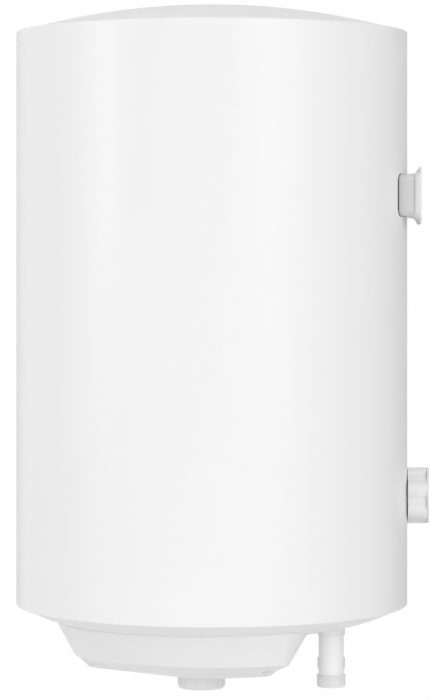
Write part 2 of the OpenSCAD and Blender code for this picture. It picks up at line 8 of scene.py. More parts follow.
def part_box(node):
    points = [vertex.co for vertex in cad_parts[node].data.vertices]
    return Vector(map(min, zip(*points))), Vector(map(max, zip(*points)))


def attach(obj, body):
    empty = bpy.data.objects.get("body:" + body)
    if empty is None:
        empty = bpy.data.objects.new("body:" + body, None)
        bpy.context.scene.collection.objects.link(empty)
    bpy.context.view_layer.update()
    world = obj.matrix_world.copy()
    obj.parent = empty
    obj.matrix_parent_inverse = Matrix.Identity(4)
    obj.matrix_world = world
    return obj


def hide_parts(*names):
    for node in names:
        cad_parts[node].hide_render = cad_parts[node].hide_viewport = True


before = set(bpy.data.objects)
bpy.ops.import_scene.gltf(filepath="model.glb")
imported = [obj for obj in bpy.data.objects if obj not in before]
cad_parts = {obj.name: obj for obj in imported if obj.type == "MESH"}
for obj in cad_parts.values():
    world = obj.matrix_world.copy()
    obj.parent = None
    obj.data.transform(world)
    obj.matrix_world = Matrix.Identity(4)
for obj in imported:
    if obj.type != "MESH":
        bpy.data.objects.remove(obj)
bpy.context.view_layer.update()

# Places are in millimetres from the tank's upright axis: x to the right, w towards the wall, and a depth
# below the casing's lower rim. The frame itself is in metres.
mm = 0.001
tankLow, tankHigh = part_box("tank_shell")
casingLow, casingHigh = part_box("outer_casing")
axisY = (tankLow.y + tankHigh.y) / 2
rimLow, rimHigh = casingLow.z, casingHigh.z
casingHeight = (rimHigh - rimLow) / mm


def spot(x, w, depth):
    return Vector((x * mm, axisY + w * mm, rimLow - depth * mm))


# heights count up from the lower rim
def upright(x=0, w=0):
    return Matrix.Translation(spot(x, w, 0)) @ Matrix.Scale(mm, 4)


# heights count from the tank's axis towards the wall
def towardsWall(z):
    turn = Matrix(((1, 0, 0), (0, 0, 1), (0, -1, 0))).to_4x4()
    return Matrix.Translation((0, axisY, z)) @ turn @ Matrix.Scale(mm, 4)


def circleAngles(count):
    return [2 * math.pi * i / count for i in range(count)]


def circle(r, angles, x=0, w=0):
    return [(x + r * math.cos(a), w + r * math.sin(a)) for a in angles]


# a flat outline, set at one height of the place
def ringAt(place, outline, h):
    return [place @ Vector((x, y, h)) for x, y in outline]


def boxCentre(node):
    low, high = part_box(node)
    return (low.x + high.x) / 2 / mm, ((low.y + high.y) / 2 - axisY) / mm, (low.z + high.z) / 2


def newObject(name, data):
    obj = bpy.data.objects.new(name, data)
    bpy.context.scene.collection.objects.link(obj)
    return obj


# corner points (x, y, radius) as a list of points with the corners rounded
def rounded(points, closed=True, steps=5):
    out, n = [], len(points)
    for i, p in enumerate(points):
        here = Vector(p[:2])
        radius = p[2] if len(p) > 2 else 0
        if radius <= 0 or (not closed and i in (0, n - 1)):
            out.append(tuple(here))
            continue
        a = Vector(points[i - 1][:2]) - here
        b = Vector(points[(i + 1) % n][:2]) - here
        half = a.angle(b) / 2
        reach = min(radius / math.tan(half), a.length * 0.49, b.length * 0.49)
        radius = reach * math.tan(half)
        centre = here + (a.normalized() + b.normalized()).normalized() * (radius / math.sin(half))
        start, end = here + a.normalized() * reach - centre, here + b.normalized() * reach - centre
        sweep = start.angle_signed(end)
        for k in range(steps + 1):
            t = -sweep * k / steps
            c, s = math.cos(t), math.sin(t)
            out.append((centre.x + start.x * c - start.y * s, centre.y + start.x * s + start.y * c))
    return out


def makeObject(name, verts, faces, sharp=40):
    mesh = bpy.data.meshes.new(name)
    mesh.from_pydata([tuple(v) for v in verts], [], faces)
    work = bmesh.new()
    work.from_mesh(mesh)
    bmesh.ops.remove_doubles(work, verts=work.verts, dist=1e-7)
    bmesh.ops.dissolve_degenerate(work, edges=work.edges, dist=1e-8)
    bmesh.ops.recalc_face_normals(work, faces=work.faces)
    work.to_mesh(mesh)
    work.free()
    obj = newObject(name, mesh)
    smooth(obj, sharp)
    return obj


def smooth(obj, sharp=40):
    mesh = obj.data
    mesh.polygons.foreach_set("use_smooth", [True] * len(mesh.polygons))
    mesh.set_sharp_from_angle(angle=math.radians(sharp))
    mesh.update()


# faces between rings of equal length, each ring closed
def skin(rings, closedRows=False, capFirst=False, capLast=False):
    verts, faces = [], []
    count = len(rings[0])
    for ring in rings:
        verts += ring
    rows = len(rings)
    for r in range(rows if closedRows else rows - 1):
        a, b = r * count, ((r + 1) % rows) * count
        for i in range(count):
            j = (i + 1) % count
            faces.append((a + i, a + j, b + j, b + i))
    if capFirst:
        faces.append(tuple(reversed(range(count))))
    if capLast:
        faces.append(tuple(range((rows - 1) * count, rows * count)))
    return verts, faces


# turns a profile of (radius, height) about the place's own axis; shape(r, h, angle) may change r
def lathe(name, profile, place, segments=96, closed=True, angles=None, shape=None, sharp=40):
    angles = angles or circleAngles(segments)
    rings = []
    for r, h in profile:
        ring = []
        for a in angles:
            q = shape(r, h, a) if shape else r
            ring.append(place @ Vector((q * math.cos(a), q * math.sin(a), h)))
        rings.append(ring)
    return makeObject(name, *skin(rings, closedRows=closed), sharp)


# an outline of (x, y) drawn between two heights of the place
def prism(name, outline, place, low, high):
    rings = [ringAt(place, outline, h) for h in (low, high)]
    return makeObject(name, *skin(rings, capFirst=True, capLast=True))


# applies the tools to obj and removes them
def carve(obj, tools, operation="DIFFERENCE", sharp=40):
    for tool in tools:
        step = obj.modifiers.new(tool.name, "BOOLEAN")
        step.object, step.operation, step.solver = tool, operation, "EXACT"
    shaped = obj.evaluated_get(bpy.context.evaluated_depsgraph_get())
    mesh = bpy.data.meshes.new_from_object(shaped)
    obj.modifiers.clear()
    old, obj.data = obj.data, mesh
    bpy.data.meshes.remove(old)
    mesh.name = obj.name
    for tool in tools:
        bpy.data.objects.remove(tool)
    smooth(obj, sharp)


# exact normals on the upright round faces, which keeps cut strips from showing
def roundNormals(obj, centre, flat=0.02):
    mesh = obj.data
    normals = [tuple(n.vector) for n in mesh.corner_normals]
    for face in mesh.polygons:
        if abs(face.normal.z) > flat:
            continue
        for corner in face.loop_indices:
            p = mesh.vertices[mesh.loops[corner].vertex_index].co
            out = Vector((p.x - centre.x, p.y - centre.y, 0)).normalized()
            turn = out.dot(face.normal)
            if abs(turn) > 0.98:
                normals[corner] = tuple(out if turn > 0 else -out)
    mesh.normals_split_custom_set(normals)


def rectangle(halfX, halfZ, corner, steps=8):
    return rounded([(-halfX, -halfZ, corner), (halfX, -halfZ, corner),
                    (halfX, halfZ, corner), (-halfX, halfZ, corner)], steps=steps)


# one object from several that share a material
def join(name, parts):
    work = bmesh.new()
    for part in parts:
        work.from_mesh(part.data)
        bpy.data.objects.remove(part)
    mesh = bpy.data.meshes.new(name)
    work.to_mesh(mesh)
    work.free()
    obj = newObject(name, mesh)
    smooth(obj)
    return obj


# finishes

def newGroup(name, inputs, outputs):
    group = bpy.data.node_groups.new(name, "ShaderNodeTree")
    for label, kind, value in inputs:
        socket = group.interface.new_socket(name=label, in_out="INPUT", socket_type="NodeSocket" + kind)
        if value is not None:
            socket.default_value = value
    for label, kind in outputs:
        group.interface.new_socket(name=label, in_out="OUTPUT", socket_type="NodeSocket" + kind)
    return group, group.nodes.new("NodeGroupInput").outputs, group.nodes.new("NodeGroupOutput").inputs


# pairs are (input, socket or value)
def feed(tree, node, pairs):
    for label, source in pairs:
        if isinstance(source, bpy.types.NodeSocket):
            tree.links.new(source, node.inputs[label])
        else:
            node.inputs[label].default_value = source


def addNode(tree, kind, pairs=(), **values):
    node = tree.nodes.new("ShaderNode" + kind)
    for key, value in values.items():
        setattr(node, key, value)
    feed(tree, node, pairs)
    return node


def noise(tree, vector, scale, detail=2.0, rough=0.5):
    return addNode(tree, "TexNoise", [("Vector", vector), ("Scale", scale), ("Detail", detail),
                                      ("Roughness", rough)]).outputs["Fac"]


def combine(tree, operation, *values):
    return addNode(tree, "Math", enumerate(values), operation=operation).outputs[0]


# from lowest up to 1 while the value goes from low to high
def ramp(tree, value, low, high, lowest=0.0, **kind):
    return addNode(tree, "MapRange", [("Value", value), ("From Min", low), ("From Max", high),
                                      ("To Min", lowest)], **kind).outputs["Result"]


def mixColours(tree, factor, first, second):
    return addNode(tree, "Mix", [("Factor", factor), (6, first), (7, second)], data_type="RGBA").outputs[2]


def mixShaders(tree, *values):
    return addNode(tree, "MixShader", enumerate(values)).outputs[0]


# a colour that drifts a little towards another one in soft patches
def makeToneDrift():
    group, given, result = newGroup("toneDrift", [
        ("Vector", "Vector", None), ("Colour", "Color", (0.8, 0.8, 0.8, 1)),
        ("Second Colour", "Color", (0.7, 0.7, 0.7, 1)), ("Scale", "Float", 12.0),
        ("Amount", "Float", 0.5)], [("Colour", "Color")])
    big = noise(group, given["Vector"], given["Scale"], 4.0, 0.55)
    amount = combine(group, "MULTIPLY", ramp(group, big, 0.35, 0.65), given["Amount"])
    group.links.new(mixColours(group, amount, given["Colour"], given["Second Colour"]), result["Colour"])
    return group


# the fine soft lumps of baked paint or of a moulded skin
def makeOrangePeel():
    group, given, result = newGroup("orangePeel", [
        ("Vector", "Vector", None), ("Lump Scale", "Float", 500.0), ("Grain Scale", "Float", 2500.0),
        ("Grain Share", "Float", 0.3)], [("Height", "Float")])
    lumps = noise(group, given["Vector"], given["Lump Scale"], 1.5)
    grain = noise(group, given["Vector"], given["Grain Scale"], 2.0, 0.6)
    grain = combine(group, "MULTIPLY", grain, given["Grain Share"])
    group.links.new(combine(group, "ADD", lumps, grain), result["Height"])
    return group


# roughness that differs from place to place
def makeGlossDrift():
    group, given, result = newGroup("glossDrift", [
        ("Vector", "Vector", None), ("Roughness", "Float", 0.4), ("Spread", "Float", 0.08),
        ("Scale", "Float", 40.0)], [("Roughness", "Float")])
    swing = ramp(group, noise(group, given["Vector"], given["Scale"], 5.0, 0.6), 0.3, 0.7, -1.0)
    gloss = combine(group, "MULTIPLY_ADD", swing, given["Spread"], given["Roughness"])
    group.links.new(gloss, result["Roughness"])
    return group


# fine streaks along one direction, for drawn and turned metal
def makeBrushedGrain():
    group, given, result = newGroup("brushedGrain", [
        ("Vector", "Vector", None), ("Stretch", "Vector", (900.0, 900.0, 30.0))], [("Height", "Float")])
    pull = addNode(group, "VectorMath", [(0, given["Vector"]), (1, given["Stretch"])], operation="MULTIPLY")
    group.links.new(noise(group, pull.outputs["Vector"], 1.0, 4.0, 0.65), result["Height"])
    return group


# closed bubbles of rigid foam
def makeCellFoam():
    group, given, result = newGroup("cellFoam", [
        ("Vector", "Vector", None), ("Scale", "Float", 700.0)], [("Height", "Float")])
    cells = addNode(group, "TexVoronoi", [("Vector", given["Vector"]), ("Scale", given["Scale"])])
    group.links.new(cells.outputs["Distance"], result["Height"])
    return group


toneDrift, orangePeel, glossDrift = makeToneDrift(), makeOrangePeel(), makeGlossDrift()
brushedGrain, cellFoam = makeBrushedGrain(), makeCellFoam()


def newMaterial(name):
    mat = bpy.data.materials.new(name)
    mat.use_nodes = True
    return mat, mat.node_tree, mat.node_tree.nodes["Principled BSDF"]


def grey(value):
    return value, value, value


def makeFinish(name, colour, second, roughness, spread=0.06, metal=0.0, drift=0.5, driftScale=12.0,
               lump=450.0, grain=2600.0, bumpHeight=0.00002, bumpStrength=0.25, coat=0.0,
               coatRoughness=0.1, brush=None, foam=False):
    mat, tree, shader = newMaterial(name)
    where = ("Vector", addNode(tree, "TexCoord").outputs["Object"])
    tone = addNode(tree, "Group", [where, ("Colour", (*colour, 1)), ("Second Colour", (*second, 1)),
                                   ("Scale", driftScale), ("Amount", drift)], node_tree=toneDrift)
    gloss = addNode(tree, "Group", [where, ("Roughness", roughness), ("Spread", spread)],
                    node_tree=glossDrift)
    if brush:
        relief = addNode(tree, "Group", [where, ("Stretch", brush)], node_tree=brushedGrain)
    elif foam:
        relief = addNode(tree, "Group", [where], node_tree=cellFoam)
    else:
        relief = addNode(tree, "Group", [where, ("Lump Scale", lump), ("Grain Scale", grain)],
                         node_tree=orangePeel)
    bump = addNode(tree, "Bump", [("Height", relief.outputs["Height"]), ("Strength", bumpStrength),
                                  ("Distance", bumpHeight)])
    feed(tree, shader, [
        ("Base Color", tone.outputs["Colour"]), ("Roughness", gloss.outputs["Roughness"]),
        ("Normal", bump.outputs["Normal"]), ("Metallic", metal), ("IOR", 1.5), ("Coat Weight", coat),
        ("Coat Roughness", coatRoughness)])
    return mat


finishes = {
    "casing_enamel": dict(colour=grey(0.87), second=grey(0.86), roughness=0.29,
                          spread=0.015, lump=260, bumpHeight=0.00003, bumpStrength=0.12, driftScale=5),
    "cap_plastic": dict(colour=grey(0.85), second=grey(0.83), roughness=0.48,
                        lump=900, grain=4000, bumpHeight=0.00002, bumpStrength=0.1),
    "cover_plastic": dict(colour=grey(0.85), second=grey(0.83), roughness=0.45,
                          lump=900, grain=4000, bumpHeight=0.00002, bumpStrength=0.1),
    "knob_plastic": dict(colour=grey(0.82), second=grey(0.8), roughness=0.42,
                         lump=1200, grain=5000, bumpHeight=0.00001, bumpStrength=0.1),
    "pipe_enamel": dict(colour=grey(0.88), second=grey(0.86), roughness=0.32, spread=0.03,
                        lump=700, bumpHeight=0.00001, bumpStrength=0.1),
    "protector_plastic": dict(colour=grey(0.8), second=grey(0.77), roughness=0.5,
                              lump=1500, grain=6000, bumpHeight=0.00001, bumpStrength=0.08),
    "hanger_enamel": dict(colour=grey(0.88), second=grey(0.86), roughness=0.38,
                          lump=600, bumpHeight=0.00002, bumpStrength=0.12),
    "spacer_plastic": dict(colour=grey(0.82), second=grey(0.79), roughness=0.45,
                           lump=1100, grain=5000, bumpHeight=0.00001, bumpStrength=0.1),
    "seal_grey": dict(colour=grey(0.82), second=grey(0.79), roughness=0.6,
                      lump=1500, grain=5000, bumpHeight=0.00004, bumpStrength=0.3),
    "foam": dict(colour=(0.78, 0.66, 0.36), second=(0.68, 0.53, 0.25), roughness=0.85, drift=0.8,
                 driftScale=30, foam=True, bumpHeight=0.0006, bumpStrength=0.6),
    "tank_enamel": dict(colour=(0.03, 0.06, 0.16), second=(0.02, 0.04, 0.11), roughness=0.22, drift=0.8,
                        lump=320, bumpHeight=0.00008, bumpStrength=0.35, coat=0.4),
    "bare_steel": dict(colour=(0.48, 0.47, 0.45), second=(0.36, 0.34, 0.32), roughness=0.42, metal=1.0,
                       drift=0.8, driftScale=60, brush=(40, 40, 1400), bumpHeight=0.00003),
    "zinc_steel": dict(colour=(0.66, 0.67, 0.68), second=(0.52, 0.54, 0.56), roughness=0.36, metal=1.0,
                       drift=0.9, driftScale=140, brush=(900, 900, 300), bumpHeight=0.00002),
    "gasket_rubber": dict(colour=(0.03, 0.03, 0.032), second=grey(0.05), roughness=0.75,
                          lump=900, bumpHeight=0.00008, bumpStrength=0.4),
    "element_copper": dict(colour=(0.72, 0.36, 0.22), second=(0.5, 0.24, 0.14), roughness=0.36, metal=1.0,
                           drift=0.9, driftScale=70, brush=(700, 700, 60), bumpHeight=0.00003),
    "terminal_ceramic": dict(colour=(0.86, 0.84, 0.78), second=(0.78, 0.75, 0.68), roughness=0.5,
                             lump=1500, bumpHeight=0.00004, bumpStrength=0.3),
    "lead_insulation": dict(colour=(0.45, 0.03, 0.02), second=(0.36, 0.02, 0.02), roughness=0.5,
                            lump=1800, bumpHeight=0.00003, bumpStrength=0.25),
    "anode_magnesium": dict(colour=(0.56, 0.56, 0.54), second=(0.4, 0.4, 0.39), roughness=0.6, metal=1.0,
                            drift=0.9, driftScale=90, lump=700, bumpHeight=0.00015, bumpStrength=0.5),
    "earth_brass": dict(colour=(0.78, 0.6, 0.28), second=(0.62, 0.45, 0.2), roughness=0.36, metal=1.0,
                        drift=0.8, driftScale=200, brush=(1400, 1400, 400), bumpHeight=0.00002),
    "thermostat_plastic": dict(colour=grey(0.06), second=grey(0.08), roughness=0.5,
                               lump=1300, grain=5000, bumpHeight=0.00004, bumpStrength=0.35),
    "button_red": dict(colour=(0.6, 0.02, 0.015), second=(0.5, 0.015, 0.01), roughness=0.35,
                       lump=1800, bumpHeight=0.00002),
    "diffuser_plastic": dict(colour=(0.7, 0.74, 0.78), second=(0.62, 0.67, 0.72), roughness=0.4,
                             lump=1300, bumpHeight=0.00003),
    "lamp_lens": dict(colour=(0.75, 0.09, 0.02), second=(0.6, 0.05, 0.01), roughness=0.12, lump=2500,
                      bumpHeight=0.00001, coat=0.6, coatRoughness=0.05),
}
paint = {name: makeFinish(name, **values) for name, values in finishes.items()}
print("finishes ready:", len(paint))


# painted shade: the neck, recessed under the plate and shaded by the casing, gets a darker colour than the
# plate; edge is where it changes along y
def paintNeckShade(mat, colour, edge, blend=0.0004):
    tree = mat.node_tree
    base = tree.nodes["Principled BSDF"].inputs["Base Color"]
    parts = addNode(tree, "SeparateXYZ", [("Vector", tree.nodes["Texture Coordinate"].outputs["Object"])])
    onPlate = ramp(tree, parts.outputs["Y"], edge - blend, edge + blend)
    tree.links.new(mixColours(tree, onPlate, (*colour, 1), base.links[0].from_socket), base)


# gives a new piece its finish, hangs it on its body and hides the CAD nodes it stands for
def dress(obj, finish, body, *nodes):
    obj.data.materials.clear()
    obj.data.materials.append(paint[finish])
    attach(obj, body)
    if nodes:
        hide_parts(*nodes)


# casing: a rolled sheet with a round hem at each rim and a lock seam at the back

casing = dict(sheet=0.8, hem=1.4, segments=288, seamAngle=138, seamWidth=7, seamHeight=0.45,
              hangerGapX=112, hangerGapZ=36.8, gapCorner=8, spacerHole=13.9,
              cutIn=60, cutPast=9,
              rows=(6, 8))  # plain rows next to the hems
casingR = (casingHigh.x - casingLow.x) / 2 / mm
spacerZ, hangerZ = boxCentre("spacer_pad")[2], boxCentre("hanger_bracket")[2]


def hemArc(centreZ, first, last, steps=12):
    turns = [math.radians(first + (last - first) * k / steps) for k in range(steps + 1)]
    return circle(casing["hem"], turns, casingR - casing["hem"], centreZ)


def makeCasing():
    c = casing
    foot = math.degrees(math.acos((c["hem"] - c["sheet"]) / c["hem"]))
    top = hemArc(casingHeight - c["hem"], 0, 360 - foot)
    low = hemArc(c["hem"], foot, 360)
    seam, half = math.radians(c["seamAngle"]), c["seamWidth"] / 2 / casingR
    angles = sorted(circleAngles(c["segments"]) + [seam + half * k for k in (-1, -0.9, -0.8, 0.8, 0.9, 1)])
    angles = [a for a in angles if not 1e-6 < abs(a - seam) < half * 0.75]

    def seamShape(r, h, a):
        t = abs(a - seam) / half
        lift = c["seamHeight"] * min(1, max(0, (1 - t) / 0.2))
        inside = 2 * c["hem"] + 1 < h < casingHeight - 2 * c["hem"] - 1
        return r + lift if inside and r > casingR - c["sheet"] / 2 else r

    rows = [*c["rows"], *(casingHeight - z for z in c["rows"][::-1])]
    profile = low + [(casingR, z) for z in rows] + top
    obj = lathe("outerCasing", profile, upright(), angles=angles, shape=seamShape, sharp=35)
    window = prism("window", rectangle(c["hangerGapX"] / 2, c["hangerGapZ"] / 2, c["gapCorner"], 12),
                   towardsWall(hangerZ), c["cutIn"], casingR + c["cutPast"])
    hole = prism("hole", circle(c["spacerHole"], circleAngles(64)), towardsWall(spacerZ),
                 c["cutIn"], casingR + c["cutPast"])
    carve(obj, [window, hole], sharp=35)
    roundNormals(obj, spot(0, 0, 0))
    dress(obj, "casing_enamel", "heater", "outer_casing")


makeCasing()
print("casing done")

# end caps

topCap = dict(rise=23, baseR=165, skirtR=167, wall=1.6, skirt=14, outerIn=0.6, innerIn=5)
bottomCap = dict(rise=22, skirtR=167, wall=1.6, skirt=14, power=4, portR=66, pipeHole=11.85, screwHole=2.05,
                 steps=44, cut=(-20, 40))


def makeTopCap():
    c = topCap
    ballR = (c["baseR"] ** 2 + c["rise"] ** 2) / (2 * c["rise"])
    centre = casingHeight + c["rise"] - ballR

    def arc(r, edge, steps=40):
        limit = math.asin(edge / r)
        return [(r * math.sin(limit * k / steps), centre + r * math.cos(limit * k / steps))
                for k in range(steps + 1)]

    outer = [(max(r, 0.001), h) for r, h in arc(ballR, c["baseR"] - c["outerIn"])]
    inner = [(max(r, 0.001), h) for r, h in arc(ballR - c["wall"], c["baseR"] - c["innerIn"])]
    rimTop = casingHeight
    edge = rounded([(c["baseR"] - c["outerIn"], outer[-1][1]), (c["baseR"], rimTop + 0.02, 0.5),
                    (c["skirtR"] - 0.1, rimTop, 0.5), (c["skirtR"], rimTop - c["skirt"], 0.4),
                    (c["skirtR"] - c["wall"], rimTop - c["skirt"], 0.4),
                    (c["skirtR"] - c["wall"], rimTop - c["wall"], 1),
                    (c["baseR"] - c["innerIn"], inner[-1][1])], closed=False)
    obj = lathe("topCap", outer + edge[1:-1] + inner[::-1], upright(), 192, closed=False)
    dress(obj, "cap_plastic", "heater", "top_cap")


def domeDepth(r):
    c = bottomCap
    return c["rise"] * (1 - min(1, abs(r) / c["skirtR"]) ** c["power"])


pipeX, pipeW = boxCentre("cold_pipe")[:2]
screwPlaces = [(0, -104), (86, 50), (-86, 50)]


# a round cutter between two depths
def disc(name, r, x, w, low, high, count=48):
    return prism(name, circle(r, circleAngles(count), x, w), upright(), -high, -low)


def makeBottomCap():
    c = bottomCap
    steps = c["steps"]
    radii = [c["portR"] + (c["skirtR"] - 0.4 - c["portR"]) * k / steps for k in range(steps + 1)]
    outer = [(r, -domeDepth(r)) for r in radii]
    inner = [(r, c["wall"] - domeDepth(r)) for r in radii if r < c["skirtR"] - c["wall"] - 0.5]
    skirt = rounded([(c["skirtR"], 0.4, 0.3), (c["skirtR"], c["skirt"], 0.4),
                     (c["skirtR"] - c["wall"], c["skirt"], 0.4), (c["skirtR"] - c["wall"], 1.2, 0.5)])
    obj = lathe("bottomCap", outer + skirt + inner[::-1], upright(), 192, sharp=35)
    tools = [disc("pipeHole%d" % s, c["pipeHole"], s * pipeX, pipeW, *c["cut"]) for s in (-1, 1)]
    tools += [disc("screwHole%d" % i, c["screwHole"], x, w, *c["cut"], 24)
              for i, (x, w) in enumerate(screwPlaces)]
    carve(obj, tools, sharp=35)
    dress(obj, "cap_plastic", "heater", "bottom_cap")


makeTopCap()
makeBottomCap()
print("end caps done")

# service cover: a shallow tray whose top follows the bottom cap

cover = dict(r=147.5, centreW=5, back=90.5, draft=0.53, depth=56, edgeTip=43, edgeSide=38.5, edgeBack=41.3,
             wall=2.5, gap=0.12, cornerX=101, cornerRound=9, edgeRound=1.8, baseRound=2.0, angles=240,
             discs=((0, -95.5, 12), (31, 0, 40), (-31, 0, 40), (46, 39, 14), (-46, 39, 14)),
             postR=5.5, wellR=4.4, screwR=2.2, wellDepth=30, spindleHole=4.5, lampHole=4.2, entryHole=6.5,
             spread=(0.8, 0.6, 0.4, 0.2, 0.02), lip=0.35, lipRise=0.02, formLift=0.2,
             postGap=1.2, cut=(45, 70),
             # where the wall's lower edge drops towards the back, in degrees from the front
             dropFrom=112, dropOver=16)
knobW = boxCentre("thermostat_spindle")[1]
lampPlace, entryPlace = boxCentre("indicator_lamp")[:2], boxCentre("cable_grommet")[:2]


# convex hull, counter-clockwise
def hull2d(points):
    points = sorted(set(points))

    def half(seq):
        out = []
        for p in seq:
            while len(out) > 1 and ((out[-1][0] - out[-2][0]) * (p[1] - out[-2][1])
                                    - (out[-1][1] - out[-2][1]) * (p[0] - out[-2][0])) <= 0:
                out.pop()
            out.append(p)
        return out[:-1]

    return half(points) + half(points[::-1])


# distance from centre to a closed outline in one direction; angle 0 is the front
def reachAt(outline, centre, angle):
    dx, dw = math.sin(angle), -math.cos(angle)
    best = 0
    for i, p in enumerate(outline):
        q = outline[(i + 1) % len(outline)]
        px, pw, ex, ew = p[0] - centre[0], p[1] - centre[1], q[0] - p[0], q[1] - p[1]
        cross = dx * ew - dw * ex
        if abs(cross) < 1e-9:
            continue
        t = (px * ew - pw * ex) / cross
        u = (px * dw - pw * dx) / cross
        if -1e-9 <= u <= 1 + 1e-9 and t > best:
            best = t
    return best


# the wall's top outline, its lower edge and the flat underside, each moved in by inset
def coverOutlines(inset):
    c = cover
    r, back = c["r"] - inset, c["back"] - inset
    corner = math.acos(-(back - c["centreW"]) / r)
    arc = [(r * math.sin(a), c["centreW"] - r * math.cos(a))
           for a in (-corner + 2 * corner * k / 120 for k in range(121))]
    top = rounded([(*p, 0) for p in arc[1:-1]] + [(*arc[-1], c["cornerRound"]), (*arc[0], c["cornerRound"])])
    lower = []
    for k in range(-48, 49):
        a = math.radians(k * 2.5)
        depth = edgeDepth(a)
        q = r - c["draft"] * depth
        lower.append((q * math.sin(a), c["centreW"] - q * math.cos(a)))
    lineW = back - c["draft"] * c["edgeBack"]
    lower = [p for p in lower if p[1] < lineW - 3]
    sideX = c["cornerX"] - inset
    lower = rounded([(*p, 0) for p in lower] + [(sideX, lineW, c["cornerRound"]),
                                                 (-sideX, lineW, c["cornerRound"])])
    base = hull2d([p for x, w, q in c["discs"] for p in circle(q - inset, circleAngles(96), x, w)])
    return top, lower, base


def edgeDepth(a):
    c = cover
    a = abs((a + math.pi) % (2 * math.pi) - math.pi)
    if a < math.pi / 2:
        return c["edgeSide"] + (c["edgeTip"] - c["edgeSide"]) * math.cos(a) ** 4
    t = min(1, max(0, (math.degrees(a) - c["dropFrom"]) / c["dropOver"]))
    return c["edgeSide"] + (c["edgeBack"] - c["edgeSide"]) * t * t * (3 - 2 * t)


# (radius, depth) points from the cap down the wall to the underside, in one direction
def coverProfile(angle, outlines, inset):
    c = cover
    centre = (0, c["centreW"])
    rTop, rLow, rBase = (reachAt(o, centre, angle) for o in outlines)
    low = edgeDepth(angle) - inset * 0.6

    def capDepth(r):
        return domeDepth(math.hypot(r * math.sin(angle), c["centreW"] - r * math.cos(angle))) + c["gap"]

    a, b = 0.0, low
    for _ in range(30):
        t = (a + b) / 2
        if capDepth(rTop + (rLow - rTop) * t / low) > t:
            a = t
        else:
            b = t
    rEdge = rTop + (rLow - rTop) * a / low
    return rounded([(rEdge, a), (rLow, low, c["edgeRound"]), (rBase, c["depth"] - inset, c["baseRound"]),
                    (0.001, c["depth"] - inset)], closed=False, steps=6)


def makeCover():
    c = cover
    outer, inner = coverOutlines(0), coverOutlines(c["wall"])
    angles = circleAngles(c["angles"])
    columns = []
    for a in angles:
        out, ins = coverProfile(a, outer, 0), coverProfile(a, inner, c["wall"])
        out = out[:-1] + [(out[-2][0] * s, c["depth"]) for s in c["spread"]]
        ins = ins[:-1] + [(ins[-2][0] * s, c["depth"] - c["wall"]) for s in c["spread"]]
        lip = [(out[0][0] - c["lip"], out[0][1] - c["lipRise"]),
               (ins[0][0] + c["lip"], ins[0][1] - c["lipRise"])]
        out[0] = (out[0][0], out[0][1] + c["lip"])
        columns.append(out[::-1] + lip + ins)
    count = len(columns[0])

    def ring(k, lift=0):
        return [spot(col[k][0] * math.sin(a), c["centreW"] - col[k][0] * math.cos(a), col[k][1] - lift)
                for a, col in zip(angles, columns)]

    obj = makeObject("serviceCover", *skin([ring(k) for k in range(count)], capFirst=True, capLast=True), 24)
    # the outer form alone, which trims the posts
    form = skin([ring(k, c["formLift"]) for k in range(count // 2 - 1)], capFirst=True, capLast=True)
    posts = []
    for i, (x, w) in enumerate(screwPlaces):
        reach = (-c["postR"], 0, c["postR"])
        top = min(domeDepth(math.hypot(x + dx, w + dw)) for dx in reach for dw in reach) + c["postGap"]
        post = disc("post%d" % i, c["postR"], x, w, top, c["depth"] + 5)
        carve(post, [makeObject("coverForm", *form)], "INTERSECT")
        posts.append(post)
    carve(obj, posts, "UNION", 24)
    tools = [disc("well%d" % i, c["wellR"], x, w, c["wellDepth"], c["cut"][1])
             for i, (x, w) in enumerate(screwPlaces)]
    tools += [disc("shank%d" % i, c["screwR"], x, w, -5, c["cut"][1], 24)
              for i, (x, w) in enumerate(screwPlaces)]
    tools += [disc("spindleHole", c["spindleHole"], 0, knobW, *c["cut"]),
              disc("lampHole", c["lampHole"], *lampPlace, *c["cut"]),
              disc("entryHole", c["entryHole"], *entryPlace, *c["cut"])]
    carve(obj, tools, sharp=29)
    dress(obj, "cover_plastic", "heater", "service_cover")


makeCover()
print("service cover done")

# temperature knob

knob = dict(r=20.7, top=57.2, face=74, wall=2.2, hub=7, bore=3.05, grooves=11, firstGroove=0.7, grooveR=1.0,
            grooveDepth=0.7, edge=2.6, edgeIn=1.7, socket=9,
            markHalf=0.9, markFrom=4, markTo=15.6)


